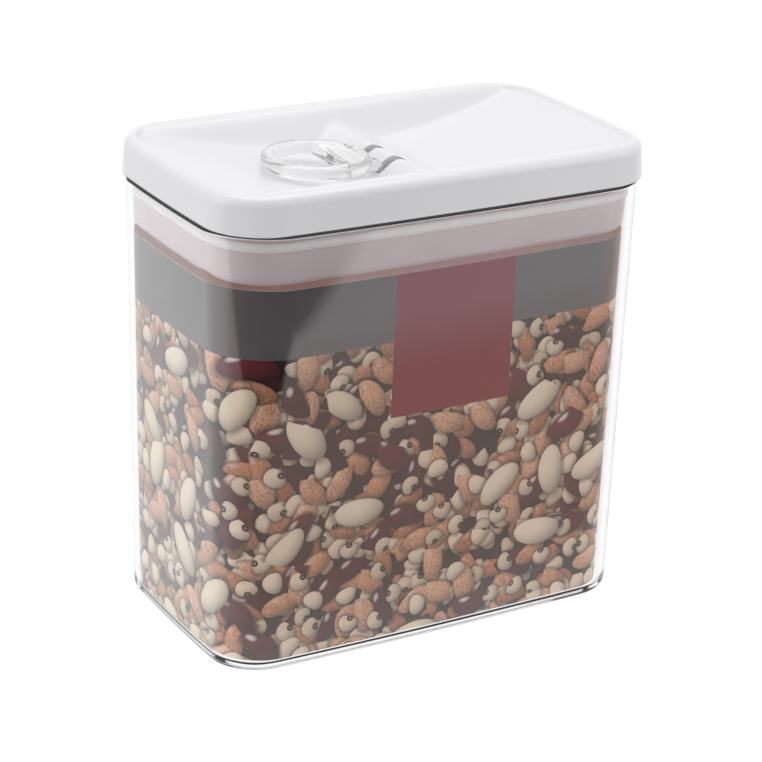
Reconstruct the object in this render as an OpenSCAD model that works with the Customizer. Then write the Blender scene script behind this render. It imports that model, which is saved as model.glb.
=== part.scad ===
// Clear storage container with a clamping lid.
// A ring lever on the lid turns a pair of cams. With the ring down the cams
// pull the press plate up and squeeze the gasket out against the wall.

/* [Container] */
// Outer width of the container at its rim
body_w = 183.6; // [150:0.2:230]
// Outer depth of the container at its rim
body_d = 109.4; // [96:0.2:150]
// Height of the container's rim above the table
body_h = 170.9; // [110:0.1:240]
// Corner radius of the container at its rim
corner_r = 23.6; // [18:0.2:30]
// Corner radius of the container at its base
base_corner_r = 18; // [12:0.5:24]
// How far each side leans in from the rim to the base
draft = 2.9; // [0.5:0.1:6]
// How far each side bows out at its middle
side_bow = 1.6; // [0:0.1:3]
// Thickness of the moulded wall
wall = 2.4; // [1.6:0.1:3.4]
// Thickness of the floor
floor_t = 2.6; // [1.8:0.1:5]
// Height of the foot ring under the floor
foot_h = 0.8; // [0.4:0.1:3]
// Width of the foot ring
foot_w = 5; // [3:0.5:12]
// Radius of the outer edge between wall and base
base_edge_r = 3; // [1.5:0.5:5]
// Rounding of the rim's two edges
rim_edge_r = 0.7; // [0.3:0.1:0.8]

/* [Printed sleeve] */
// Thickness of the printed card
sleeve_t = 0.4; // [0.3:0.05:1]
// Room between the card's top edge and the press plate when it is down
sleeve_room = 0.4; // [0.2:0.1:80]
// Gap between the wall and the card
sleeve_gap = 0.5; // [0.3:0.1:1.5]
// How much rounder the card bends than the wall behind it
sleeve_round = 3; // [0:0.5:5]

/* [Lid] */
// How far the lid stands out past the container's rim
lid_overhang = 0.3; // [0:0.1:2]
// Corner radius of the lid
lid_corner_r = 20.3; // [14:0.1:24]
// Height of the lid from its lower edge to its top
lid_h = 14.2; // [13.2:0.1:18]
// How far the lid's side leans in from its lower edge to its top
lid_draft = 0.7; // [0:0.1:1.2]
// Rounding of the lid's upper edge
lid_edge_r = 4; // [2:0.5:6]
// Thickness of the moulded cover
cover_t = 2.1; // [1.6:0.1:2.3]
// Thickness of the skirt round the lid
skirt_t = 2.4; // [1.8:0.1:3]
// Width of the flat rim round the dish
rim_w = 10.5; // [8:0.5:14]
// Slope of the dish's long walls, in degrees
dish_wall = 47; // [38:1:60]
// Length over which the dish sweeps from rim to rim
dish_l = 180; // [120:1:184]
// Depth of the dish at its middle
dish_depth = 13.2; // [11:0.1:13.4]
// Height of the ridge over the dish floor
ridge_h = 6.5; // [6.2:0.1:8]
// Slope of the ridge's face on the ring's side, in degrees
ridge_near = 36; // [24:1:40]
// Slope of the ridge's other face, in degrees
ridge_far = 23; // [18:1:34]
// Rounding length of the ridge's crest
ridge_round = 2; // [1:0.5:4]

/* [Seals] */
// Height of the soft seal under the lid's edge
seal_h = 1; // [0.8:0.1:2.4]
// How far the seal's outer face starts inside the lid's edge
seal_inset = 0.1; // [0:0.1:1.2]
// Height of the gasket when it is squeezed
gasket_h = 3.7; // [3:0.1:6]
// Width of the gasket's flat band
gasket_w = 4.6; // [3:0.1:6]
// Gap left between the squeezed gasket and the wall
gasket_gap = 0.3; // [0.2:0.05:0.8]

/* [Inner frame and press plate] */
// Thickness of the frame's web
frame_t = 1.8; // [1.4:0.1:3]
// Height of the frame's wall below the lid's lower edge
frame_drop = 3.5; // [3.2:0.1:6]
// Height of the frame's flange inside the skirt
flange_h = 2; // [1.5:0.1:3]
// Play between the frame's wall and the container
frame_gap = 1; // [0.5:0.1:1.6]
// Height of the press plate
plate_h = 12.8; // [10:0.1:20]
// Thickness of the press plate's wall and floor
plate_t = 2; // [1.5:0.1:2.6]
// Radius of the press plate's lower edge
plate_edge_r = 3; // [2:0.5:5]
// Play between the press plate and the container
plate_gap = 1.1; // [0.7:0.1:2]
// How far the press plate's wall leans in at the bottom
plate_draft = 0.6; // [0:0.1:1.5]

/* [Flip ring] */
// Outer radius of the ring
ring_r = 17; // [14:0.5:20]
// Radius of the finger hole
hole_r = 11.7; // [9:0.1:13]
// Thickness of the ring
ring_t = 5.3; // [4:0.1:6]
// Distance from the pivot to the centre of the ring
ring_reach = 33.3; // [31:0.1:40]
// How far the ring's free end tips up when the lever is down, in degrees
ring_tilt = 4.5; // [0:0.5:8]
// How far the ring's free end lies below the top of the lid
ring_sink = 1.6; // [0:0.1:3]
// Rounding of the ring's edges
ring_edge_r = 1.4; // [0.5:0.1:2]
// Width of the neck across both cheeks
neck_w = 20; // [18:0.5:26]
// Distance from the pivot to the near face of the neck
neck_near = 10; // [9:0.5:13]
// Thickness of one cheek
cheek_t = 4; // [3:0.1:5]

/* [Cam and pivot] */
// Height of the pivot over the cam pad with the ring down
cam_high = 6; // [5.5:0.1:6.5]
// How far the press plate drops when the ring is raised
lift = 2; // [1:0.1:2.4]
// Turn of the ring from flat to upright, in degrees
swing = 90; // [60:1:90]
// Radius of the pivot pin
pin_r = 1.25; // [1:0.05:1.4]
// Running clearance of the pin in the cheeks, on the radius
pin_play = 0.05; // [0.03:0.01:0.09]
// Thickness of the cam pad
pad_t = 1.5; // [1:0.1:2]
// Play round the pull post and the cheeks
side_play = 0.3; // [0.2:0.05:0.6]
// Radius of the pull post's round head
post_head_r = 2.6; // [2.4:0.1:2.8]
// Length of the pull post's foot along the lid
foot_plate_l = 34; // [28:1:44]
// Thickness of the pull post's foot
foot_plate_t = 2.4; // [2:0.1:4]
// Radius of the screws that hold the pull post
screw_r = 1.4; // [1:0.1:1.6]
// Radius of the screws' heads
screw_head_r = 2.7; // [2.2:0.1:3.2]
// Height of the screws' heads
screw_head_h = 1.6; // [1:0.1:2.4]

/* [Hidden] */
$fn = 48;

// Steps of the outline: corners, half a long side, half a short side
corner_steps = 6;
side_steps = 9;
end_steps = 2;
// Long sides get closer points near the middle, where the ridge is
side_spread = 1.6;
// A bow dies away towards the corners with this power
bow_power = 8;
// Rounding length where the dish's walls meet the rim and the floor
wall_round = 1.2;
edge_steps = 4;
eps = 0.01;

// Levels
floor_z = foot_h + floor_t;
seat_gap = 0.1;
lid_z = body_h + seat_gap + seal_h;
top_z = lid_z + lid_h;
dish_z = top_z - dish_depth;
crest_z = dish_z + ridge_h;
pivot_z = crest_z - cover_t - side_play - post_head_r;
pad_z = pivot_z - cam_high;
frame_z = lid_z - frame_drop;
plate_top_z = frame_z - gasket_h;
plate_z = plate_top_z - plate_h;
web_z = min(dish_z - cover_t - 0.4, frame_z + frame_t);
sleeve_z = floor_z + 0.2;
sleeve_h = plate_z - lift - sleeve_room - sleeve_z;

// Lid sizes
lid_w = body_w + 2 * lid_overhang;
lid_d = body_d + 2 * lid_overhang;
step_w = 2;
frame_inset = skirt_t + 0.2;
under_shift = cover_t * (1 / cos(dish_wall) - 1) / tan(dish_wall);
slope_w = dish_depth / tan(dish_wall);
// Insets of the rings that shape the walls of the dish and its floor
dish_insets = concat([for (s = [-0.25, -0.08, 0.06, 0.25, 0.5, 0.75, 0.94, 1.08, 1.3]) rim_w + slope_w * s],
    [for (i = [1, 2]) rim_w + 1.3 * slope_w + (lid_d / 2 - rim_w - 1.3 * slope_w - 5) * i / 2]);

// Lever sizes
cam_rate = lift / (swing * PI / 180);
cheek_in = neck_w / 2 - cheek_t;
cheek_front = cam_high - lift - 0.2;
cheek_top = cam_high - lift - 0.5;
ring_top = (top_z - ring_sink - pivot_z - (ring_reach + ring_r) * sin(ring_tilt)) / cos(ring_tilt);
ring_low = ring_top - ring_t;
slot_end = cheek_top + side_play;
slot_start = neck_near - 1.8;
post_w = 2 * (cheek_in - side_play);
hole_x = post_head_r + side_play;
hole_y = post_w / 2 + side_play;
pad_x = [-cam_high - 1.6, cam_high - lift + 1.4];
pad_y = neck_w / 2 + 1;
well_wall = 2;
foot_plate_w = post_w + 6;
screw_x = foot_plate_l / 2 - screw_head_r - 1.5;
screw_l = foot_plate_t + plate_t - 0.4;

// Half of a rounded rectangle, from the middle of the right end over the back to the left end
function half_outline(hw, hd, r) = concat(
    [for (i = [0:end_steps - 1]) [hw, (hd - r) * i / end_steps]],
    [for (i = [0:corner_steps]) [hw - r + r * cos(90 * i / corner_steps),
        hd - r + r * sin(90 * i / corner_steps)]],
    [for (i = [1 - side_steps:side_steps - 1]) [-(hw - r) * sign(i) * pow(abs(i) / side_steps, side_spread), hd]],
    [for (i = [0:corner_steps]) [r - hw - r * sin(90 * i / corner_steps),
        hd - r + r * cos(90 * i / corner_steps)]],
    [for (i = [end_steps - 1:-1:0]) [-hw, (hd - r) * i / end_steps]]);

// Pushes a point of the outline out, most at the middle of its side
function bowed(p, hw, hd, bow) = [
    p[0] + sign(p[0]) * bow * (1 - pow(p[1] / hd, 2)) * pow(abs(p[0]) / hw, bow_power),
    p[1] + sign(p[1]) * bow * (1 - pow(p[0] / hw, 2)) * pow(abs(p[1]) / hd, bow_power)];

// Whole outline of a rounded rectangle with bowed sides
function outline(w, d, r, bow) =
    let (hw = w / 2 - bow, hd = d / 2 - bow, q = max(min(r, hd * 0.9), 0.5), half = half_outline(hw, hd, q))
    [for (p = concat(half, [for (i = [len(half) - 2:-1:1]) [half[i][0], -half[i][1]]])) bowed(p, hw, hd, bow)];

// Ring of points on the container's drafted wall, inset from its outer face
function wall_ring(inset, z, round = 0) =
    let (s = z / body_h, lean = draft * (1 - s) + inset,
        r = base_corner_r + (corner_r - base_corner_r) * s - inset + round)
    [for (p = outline(body_w - 2 * lean, body_d - 2 * lean, r, side_bow)) [p[0], p[1], z]];

// Height of the dish floor: a long sweep with a ridge across its middle
function floor_height(x) = max(
    top_z - dish_depth * (1 - pow(min(abs(x) / (dish_l / 2), 1), 2)),
    crest_z - tan(x < 0 ? ridge_near : ridge_far) * (sqrt(pow(x, 2) + pow(ridge_round, 2)) - ridge_round));

// Softly rounded step from 0 to full as u runs past both
function soft_step(u, full) =
    (sqrt(u * u + wall_round * wall_round) - sqrt(pow(u - full, 2) + wall_round * wall_round) + full) / 2;

// Height of the lid's top; its long walls fall from the rim to the dish floor
function top_height(x, y, shift = 0) =
    top_z - soft_step((lid_d / 2 - abs(y) - rim_w + shift) * tan(dish_wall), top_z - floor_height(x));

function lid_outline(inset) = outline(lid_w - 2 * inset, lid_d - 2 * inset, lid_corner_r - inset,
    side_bow * (1 - 2 * inset / lid_d));

// Ring of points on the lid at one height
function lid_ring(inset, z) = [for (p = lid_outline(inset)) [p[0], p[1], z]];

// Ring of points on the lid's top, or on its underside when lowered and shifted
function dish_ring(inset, drop = 0, shift = 0) =
    [for (p = lid_outline(inset)) [p[0], p[1], top_height(p[0], p[1], shift) - drop]];

// Inset and height of points on a quarter round; from and to are in degrees
function arc_steps(inset, z, r, from, to) = [for (i = [0:edge_steps])
    let (a = from + (to - from) * i / edge_steps) [inset + r * cos(a), z + r * sin(a)]];

// Skins a stack of rings; a closed stack joins its last ring to its first
module loft(rings, closed = false) {
    n = len(rings[0]);
    m = len(rings);
    sides = [for (k = [0:(closed ? m - 1 : m - 2)]) for (i = [0:n - 1])
        let (a = k * n, b = (k + 1) % m * n, j = (i + 1) % n)
        each [[a + i, b + i, b + j], [a + i, b + j, a + j]]];
    first = concat([[0, 1, n - 1]],
        [for (i = [1:n / 2 - 2]) each [[i, i + 1, n - i - 1], [i, n - i - 1, n - i]]],
        [[n / 2 - 1, n / 2, n / 2 + 1]]);
    last = [for (f = first) [for (v = [2:-1:0]) f[v] + (m - 1) * n]];
    polyhedron(points = [for (ring = rings) each ring], faces = closed ? sides : concat(sides, first, last),
        convexity = 8);
}

// Section of a bar with rounded corners, centred
module round_bar_section(w, h, r) {
    square([w - 2 * r, h], center = true);
    square([w, h - 2 * r], center = true);
    for (x = [-1, 1], y = [-1, 1]) translate([x * (w / 2 - r), y * (h / 2 - r)]) circle(r);
}

// Clear moulded box: foot ring, drafted bowed walls, rounded rim and inner floor
module container_body() {
    inner_r = 1;
    profile = concat(
        [[foot_w + base_edge_r + 0.6, foot_h], [foot_w + base_edge_r, 0]],
        arc_steps(base_edge_r, base_edge_r, base_edge_r, 270, 180),
        arc_steps(rim_edge_r, body_h - rim_edge_r, rim_edge_r, 180, 90),
        arc_steps(wall - rim_edge_r, body_h - rim_edge_r, rim_edge_r, 90, 0),
        arc_steps(wall + inner_r, floor_z + inner_r, inner_r, 180, 270));
    color("gainsboro", 0.4) loft([for (p = profile) wall_ring(p[0], p[1])]);
}

// Printed card that lines the wall
module printed_sleeve() {
    inset = wall + sleeve_gap;
    profile = [[inset, 0], [inset, sleeve_h], [inset + sleeve_t, sleeve_h], [inset + sleeve_t, 0]];
    color("rosybrown") loft([for (p = profile) wall_ring(p[0], sleeve_z + p[1], sleeve_round)], closed = true);
}

// One skin over the underside, the skirt, the rounded edge and the dish
module cover_shell() {
    under_z = top_z - cover_t;
    under = concat(
        [for (i = [len(dish_insets) - 1:-1:0]) dish_ring(dish_insets[i], cover_t, under_shift)],
        [for (p = [[skirt_t + step_w + 1, under_z], [skirt_t + step_w, under_z - 1],
            [skirt_t + step_w, lid_z + flange_h], [skirt_t, lid_z + flange_h], [skirt_t, lid_z]])
            lid_ring(p[0], p[1])]);
    over = concat(
        [lid_ring(0, lid_z)],
        [for (p = arc_steps(lid_draft + lid_edge_r, top_z - lid_edge_r, lid_edge_r, 180, 90))
            lid_ring(p[0], p[1])],
        [for (inset = dish_insets) dish_ring(inset)]);
    loft(concat(under, over));
}

// White dished cover with two slots for the lever's cheeks
module lid_cover() {
    slot_w = cheek_t + 2 * side_play;
    color("white") difference() {
        cover_shell();
        for (side = [-1, 1]) translate([-slot_start, side * (cheek_in + cheek_t / 2) - slot_w / 2, dish_z - 10])
            cube([slot_start + slot_end, slot_w, 30]);
    }
}

// Tray under the cover that carries the cam pad and guides the pull post
module inner_frame() {
    side = wall + frame_gap;
    inner = side + 2.2;
    well_z = pad_z - pad_t - well_wall;
    rings = [wall_ring(side + 0.5, frame_z), wall_ring(side, frame_z + 0.5), wall_ring(side, lid_z),
        lid_ring(frame_inset, lid_z), lid_ring(frame_inset, lid_z + flange_h),
        lid_ring(skirt_t + step_w, lid_z + flange_h), wall_ring(inner, lid_z), wall_ring(inner, web_z)];
    color("whitesmoke") difference() {
        union() {
            loft(rings);
            translate([pad_x[0] - well_wall, -pad_y - well_wall, well_z])
                cube([pad_x[1] - pad_x[0] + 2 * well_wall, 2 * (pad_y + well_wall), web_z - well_z]);
        }
        translate([pad_x[0] - side_play, -pad_y - side_play, pad_z - pad_t])
            cube([pad_x[1] - pad_x[0] + 2 * side_play, 2 * (pad_y + side_play), 20]);
        translate([-hole_x, -hole_y, well_z - 5]) cube([2 * hole_x, 2 * hole_y, 20]);
    }
}

// Dark soft seal under the lid's edge; its outer face slants in to the wall
module rim_seal() {
    rings = [lid_ring(seal_inset, lid_z), wall_ring(0.3, lid_z - seal_h),
        wall_ring(wall + 0.6, lid_z - seal_h), wall_ring(wall + 0.6, lid_z)];
    color("dimgray") loft([for (i = [3:-1:0]) rings[i]], closed = true);
}

// Hard wearing strip that the cams slide on
module cam_pad() {
    color("silver") difference() {
        translate([pad_x[0], -pad_y, pad_z - pad_t]) cube([pad_x[1] - pad_x[0], 2 * pad_y, pad_t]);
        translate([-hole_x, -hole_y, pad_z - pad_t - 1]) cube([2 * hole_x, 2 * hole_y, pad_t + 2]);
    }
}

// Shallow tray that closes the container and pushes on the gasket
module press_plate() {
    side = wall + plate_gap;
    low = side + plate_draft;
    lip = side + gasket_w + 0.4;
    profile = concat(
        arc_steps(low + plate_edge_r, plate_z + plate_edge_r, plate_edge_r, 270, 180),
        [[side, plate_top_z - 0.5], [side + 0.5, plate_top_z], [lip, plate_top_z],
            [lip, plate_top_z - plate_t], [side + plate_t + 0.4, plate_top_z - plate_t - 1.2]],
        arc_steps(low + plate_t + plate_edge_r, plate_z + plate_t + plate_edge_r, plate_edge_r, 180, 270));
    color("whitesmoke") difference() {
        loft([for (p = profile) wall_ring(p[0], p[1])]);
        for (side_x = [-1, 1]) translate([side_x * screw_x, 0, plate_z + plate_t - screw_l + foot_plate_t - 0.2])
            cylinder(r = screw_r - 0.05, h = 10);
    }
}

// Post that stands on the press plate and hangs on the pivot pin
module pull_post() {
    z = plate_z + plate_t;
    color("lightgray") difference() {
        union() {
            translate([-foot_plate_l / 2, -foot_plate_w / 2, z])
                cube([foot_plate_l, foot_plate_w, foot_plate_t]);
            translate([-post_head_r, -post_w / 2, z]) cube([2 * post_head_r, post_w, pivot_z - z]);
            translate([0, post_w / 2, pivot_z]) rotate([90, 0, 0]) cylinder(r = post_head_r, h = post_w);
        }
        translate([0, post_w, pivot_z]) rotate([90, 0, 0]) cylinder(r = pin_r, h = 2 * post_w);
        for (side = [-1, 1]) translate([side * screw_x, 0, z - 1])
            cylinder(r = screw_r + 0.2, h = foot_plate_t + 2);
    }
}

// Two pan-head screws that hold the post's foot
module post_screws() {
    head_z = plate_z + plate_t + foot_plate_t;
    color("lightsteelblue") for (side = [-1, 1]) translate([side * screw_x, 0, head_z]) {
        translate([0, 0, -screw_l]) cylinder(r = screw_r - 0.05, h = screw_l + eps);
        difference() {
            cylinder(r = screw_head_r, h = screw_head_h);
            for (a = [0, 90]) rotate(a) translate([-1.5, -0.3, screw_head_h - 0.8]) cube([3, 0.6, 2]);
        }
    }
}

// Silicone ring that the press plate squeezes out against the wall
module plate_gasket() {
    out = wall + gasket_gap;
    bulge = gasket_h / 2;
    inner = out + bulge * 0.7 + gasket_w - 1;
    face = [for (a = [-90:30:90]) [out + bulge * 0.7 * (1 - cos(a)), frame_z - bulge + bulge * sin(a)]];
    profile = concat([[inner, plate_top_z]], face, [[inner, frame_z]]);
    color("lightgray") loft([for (p = profile) wall_ring(p[0], p[1])], closed = true);
}

// Steel pin through the post and both cheeks
module pivot_pin() {
    color("silver") translate([0, neck_w / 2 - 0.2, pivot_z]) rotate([90, 0, 0])
        cylinder(r = pin_r, h = neck_w - 0.4);
}

// Point of the cam at a direction measured from straight down towards the front of the cheek.
// Its distance to the pad falls evenly with the turn, so the plate moves evenly too.
function cam_point(a) =
    let (p = cam_high - cam_rate * a * PI / 180)
    [p * sin(a) - cam_rate * cos(a), -p * cos(a) - cam_rate * sin(a)];

// Point of the ring and neck, tipped up with the ring, as a point about the pivot
function tipped(x, z) = [x * cos(ring_tilt) + z * sin(ring_tilt), z * cos(ring_tilt) - x * sin(ring_tilt)];

// Side view of one cheek about the pivot: cam, round back, arm and the end in the neck
module cheek_profile() {
    polygon(concat(
        [for (a = [-12:6:swing]) cam_point(a)],
        [for (a = [0:10:90]) [cheek_front * cos(a), cheek_top * sin(a)]],
        [[2 - slot_start, cheek_top], tipped(-neck_near - 1.5, ring_top - 0.7), tipped(-neck_near - 4, ring_top - 1.5),
            tipped(-neck_near - 4, ring_low + 0.5), tipped(-neck_near - 0.5, ring_low + 0.2),
            [0.3 - slot_start, 1], [1.8 - slot_start, -1.2], [3 - slot_start, -3]]));
}

// Side view of the neck that joins the cheeks to the ring
module neck_profile() {
    round_r = 1.6;
    hull_x = [-neck_near - round_r, -ring_reach + hole_r + 2.4];
    hull() {
        for (z = [ring_low + round_r - 0.4, ring_top - round_r]) translate([hull_x[0], z]) circle(round_r, $fn = 32);
        for (z = [ring_low + 0.4, ring_top - 0.4]) translate([hull_x[1], z]) circle(0.4, $fn = 32);
    }
}

// Clear lever: finger ring, solid neck and two cheeks with cams
module flip_ring() {
    bore_r = pin_r + pin_play;
    color("azure", 0.6) translate([0, 0, pivot_z]) difference() {
        union() {
            rotate([0, ring_tilt, 0]) {
                translate([-ring_reach, 0, ring_low + ring_t / 2]) rotate_extrude($fn = 96)
                    translate([(ring_r + hole_r) / 2, 0]) round_bar_section(ring_r - hole_r, ring_t, ring_edge_r);
                difference() {
                    translate([0, neck_w / 2, 0]) rotate([90, 0, 0]) linear_extrude(neck_w) neck_profile();
                    translate([-ring_reach, 0, -5]) cylinder(r = (ring_r + hole_r) / 2, h = 20, $fn = 96);
                }
            }
            for (side = [-1, 1]) translate([0, side * (cheek_in + cheek_t / 2) + cheek_t / 2, 0])
                rotate([90, 0, 0]) linear_extrude(cheek_t) cheek_profile();
        }
        translate([0, neck_w, 0]) rotate([90, 0, 0]) cylinder(r = bore_r, h = 2 * neck_w);
    }
}

container_body();
printed_sleeve();
lid_cover();
inner_frame();
rim_seal();
cam_pad();
press_plate();
pull_post();
post_screws();
plate_gasket();
pivot_pin();
flip_ring();
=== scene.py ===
import math

import bmesh
import bpy
from mathutils import Matrix, Vector


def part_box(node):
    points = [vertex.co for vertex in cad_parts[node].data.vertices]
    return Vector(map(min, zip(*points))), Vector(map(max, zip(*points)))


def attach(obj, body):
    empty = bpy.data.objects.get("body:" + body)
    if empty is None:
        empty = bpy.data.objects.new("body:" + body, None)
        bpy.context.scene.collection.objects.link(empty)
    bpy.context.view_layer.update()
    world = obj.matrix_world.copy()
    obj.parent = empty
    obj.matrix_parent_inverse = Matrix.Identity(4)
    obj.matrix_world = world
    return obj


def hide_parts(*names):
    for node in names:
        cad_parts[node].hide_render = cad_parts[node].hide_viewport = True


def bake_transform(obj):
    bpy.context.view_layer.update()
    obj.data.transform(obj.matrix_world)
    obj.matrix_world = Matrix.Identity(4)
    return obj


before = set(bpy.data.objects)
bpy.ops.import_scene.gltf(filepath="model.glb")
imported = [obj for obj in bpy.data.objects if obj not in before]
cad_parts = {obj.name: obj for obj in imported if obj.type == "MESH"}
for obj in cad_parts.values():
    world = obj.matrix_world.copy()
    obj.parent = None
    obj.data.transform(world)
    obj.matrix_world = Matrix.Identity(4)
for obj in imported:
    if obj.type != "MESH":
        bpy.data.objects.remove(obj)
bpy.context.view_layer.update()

MM = 0.001

# Sizes in millimetres. The outer ones come from the frame, the rest repeat the part's source
# or, for the ring and the card's top edge, are matched to the photograph.
JAR_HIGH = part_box("container_body")[1] / MM
LID_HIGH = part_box("lid_cover")[1] / MM
SEAL_LOW, SEAL_HIGH = (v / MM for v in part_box("rim_seal"))
FRAME_LOW, FRAME_HIGH = (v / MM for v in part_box("inner_frame"))
PLATE_LOW, PLATE_HIGH = (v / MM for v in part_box("press_plate"))
CARD_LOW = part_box("printed_sleeve")[0] / MM
PIN_LOW, PIN_HIGH = (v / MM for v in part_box("pivot_pin"))
PAD_LOW, PAD_HIGH = (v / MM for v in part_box("cam_pad"))

BODY_W = 2 * JAR_HIGH.x
BODY_D = 2 * JAR_HIGH.y
BODY_H = JAR_HIGH.z
CORNER_R = 23.6
BASE_CORNER_R = 18
DRAFT = 2.9
SIDE_BOW = 1.6
BOW_POWER = 8
WALL = 2.4
FLOOR_T = 2.6
FOOT_H = 0.8
FOOT_W = 5
BASE_EDGE_R = 3
FLOOR_EDGE_R = 1
RIM_EDGE_R = 0.7
# Heights of the rings of points that keep the container's walls evenly shaded
WALL_LEVELS = [3.6, 6, 20, 50, 80, 110, 140, 165, 169.6]

CARD_ROOM = 1.2
CARD_TOP = PLATE_LOW.z - CARD_ROOM
CARD_INSET = 2.9
CARD_T = 0.4
CARD_ROUND = 3
CARD_ROWS = 12

LID_W = 2 * LID_HIGH.x
LID_D = 2 * LID_HIGH.y
LID_Z = SEAL_HIGH.z
TOP_Z = LID_HIGH.z
LID_CORNER_R = 20.3
LID_DRAFT = 0.7
LID_EDGE_R = 4
COVER_T = 2.1
SKIRT_T = 2.4
STEP_W = 2
FLANGE_H = FRAME_HIGH.z - LID_Z
RIM_W = 10.5
DISH_L = 180
DISH_DEPTH = 13.2
DISH_Z = TOP_Z - DISH_DEPTH
WALL_SLOPE = math.tan(math.radians(47))
WALL_ROUND = 1.2
WALL_REACH = DISH_DEPTH / WALL_SLOPE
UNDER_SHIFT = COVER_T * (math.sqrt(1 + WALL_SLOPE ** 2) - 1) / WALL_SLOPE
RIDGE_H = 6.5
CREST_Z = DISH_Z + RIDGE_H
RIDGE_NEAR = math.tan(math.radians(36))
RIDGE_FAR = math.tan(math.radians(23))
RIDGE_ROUND = 2
VALLEY_LIFT = 0.2
VALLEY_W = 0.4

PIVOT_Z = (PIN_LOW.z + PIN_HIGH.z) / 2
FRAME_INSET = SKIRT_T + 0.2
FRAME_SIDE = WALL + 1
SEAL_INSET = 0.1
FRAME_H = 3.5
FRAME_WALL = 2.2
FRAME_Z = LID_Z - FRAME_H
WEB_Z = FRAME_Z + 1.8
WELL_WALL = 2
POST_HOLE = Vector((2.9, 6.0, 0))
# Points on each ring of a piece that joins outlines of the container and the lid
MIXED_POINTS = 320
PLATE_SIDE = WALL + 1.1
PLATE_LEAN = 0.6
PLATE_T = 2
PLATE_EDGE_R = 3
GASKET_INSET = WALL + 0.3
GASKET_W = 4.6
GASKET_BULGE = 0.7
SIDE_PLAY = 0.3

RING_R = 20.4
HOLE_R = 14.9
RING_T = 5.5
RING_REACH = 29.6
RING_TILT = math.radians(1.0)
RING_SINK = 3.6
RING_EDGE_R = 1.8
RING_TOP = (TOP_Z - RING_SINK - PIVOT_Z - RING_REACH * math.sin(RING_TILT)) / math.cos(RING_TILT)
RING_LOW = RING_TOP - RING_T
BRIDGE_END = -24
BRIDGE_BEND = -17
BRIDGE_R = RING_R - 2.5
NECK_W = 20
NECK_NEAR = 10
CHEEK_T = 4
CHEEK_IN = NECK_W / 2 - CHEEK_T
CAM_HIGH = 6
CAM_LIFT = 2
CAM_RATE = CAM_LIFT / (math.pi / 2)
CHEEK_FRONT = CAM_HIGH - CAM_LIFT - 0.2
CHEEK_TOP = CAM_HIGH - CAM_LIFT - 0.5
ARM_TOP = 5.7
BORE_R = 1.3
VOXEL = 0.28
SLOT_START = NECK_NEAR - 1.8
SLOT_END = CHEEK_TOP + SIDE_PLAY
SLOT_W = CHEEK_T + 2 * SIDE_PLAY

# Print on the card: heights over the table and the panel's span along the front, in millimetres
BAND_LOW = 124.6
PANEL_LEFT = -24.5
PANEL_RIGHT = 28.0
PANEL_LOW = 94.5

# Camera, matched to the photograph's outlines
CAMERA_AZIMUTH = math.radians(-30.512)
CAMERA_ELEVATION = math.radians(21.898)
CAMERA_ROLL = math.radians(1.896)
CAMERA_DISTANCE = 0.98901
CAMERA_RIGHT = 0.00413
CAMERA_UP = 0.08015
CAMERA_LENS = 115.722

# The white table ends in front of the object at two straight edges, for what mirrors see of it.
# Each edge: direction out of the table, distance in m.
TABLE_EDGES = (((-0.74, -0.67, 0.0), 0.171), ((-0.368, -0.93, 0.0), 0.289))
TABLE_EDGE_SOFT = 0.006
# What mirrors see of the table, from near the front wall to far in front, beside the object and
# past the edges; the two spans of y, in m, are where one turns into the next
# The near colour is painted shade, warmed by painted colour thrown from the print, where the table
# lies by the front wall
TABLE_NEAR_PAINTED_SHADE = (0.72, 0.57, 0.51, 1)
TABLE_FAR = (0.94, 0.92, 0.94, 1)
TABLE_SIDE = (1, 1, 1, 1)
TABLE_PAST = (0.04, 0.04, 0.04, 1)
NEAR_TO_FAR = (-0.28, -0.34)
FRONT_TO_SIDE = (-0.11, -0.04)
TABLE_SIZE = 6.0
TABLE_DROP = 0.00005
TABLE_GLOW = 1.12
TABLE_GLOW_SHARE = 0.86

# The room as mirrors see it is darkest in this direction, in front of the object
ROOM_FRONT = (-0.508, -0.861, 0.0)
ROOM_DARK = 0.35
ROOM_LIGHT = 0.5


# Colours and nodes

def colour(text):
    """sRGB hex to linear RGBA"""
    channels = [int(text[i:i + 2], 16) / 255 for i in (1, 3, 5)]
    linear = [c / 12.92 if c <= 0.04045 else ((c + 0.055) / 1.055) ** 2.4 for c in channels]
    return tuple(linear) + (1.0,)


def node(tree, kind, inputs=None, **settings):
    """Adds a node; an input is given a value, or a socket that it is linked to"""
    made = tree.nodes.new("ShaderNode" + kind)
    for name, value in settings.items():
        setattr(made, name, value)
    for name, value in (inputs or {}).items():
        if isinstance(value, bpy.types.NodeSocket):
            tree.links.new(value, made.inputs[name])
        else:
            made.inputs[name].default_value = value
    return made


def material(name):
    """New material and its node tree, emptied"""
    made = bpy.data.materials.new(name)
    made.use_nodes = True
    made.node_tree.nodes.clear()
    return made, made.node_tree


def surface(tree, shader):
    node(tree, "OutputMaterial", {"Surface": shader.outputs[0]})


def principled(tree, **settings):
    """Principled surface; an underscore in a setting's name stands for a space"""
    inputs = {name.replace("_", " "): value for name, value in settings.items()}
    surface(tree, node(tree, "BsdfPrincipled", inputs))


def noise(tree, size_mm, detail):
    """Noise whose lumps are about size_mm across, in object space"""
    place = node(tree, "TexCoord")
    return node(tree, "TexNoise", {"Vector": place.outputs["Object"], "Scale": 1 / (size_mm * MM),
                                   "Detail": detail}).outputs["Fac"]


def bump(tree, height, strength, depth_mm):
    return node(tree, "Bump", {"Height": height, "Strength": strength,
                               "Distance": depth_mm * MM}).outputs[0]


def maths(tree, operation, *values):
    """Result of a maths node"""
    return node(tree, "Math", dict(enumerate(values)), operation=operation).outputs[0]


def vector(tree, operation, first, second, out=0):
    """Result of a vector maths node; out names its socket"""
    return node(tree, "VectorMath", {0: first, 1: second}, operation=operation).outputs[out]


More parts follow.
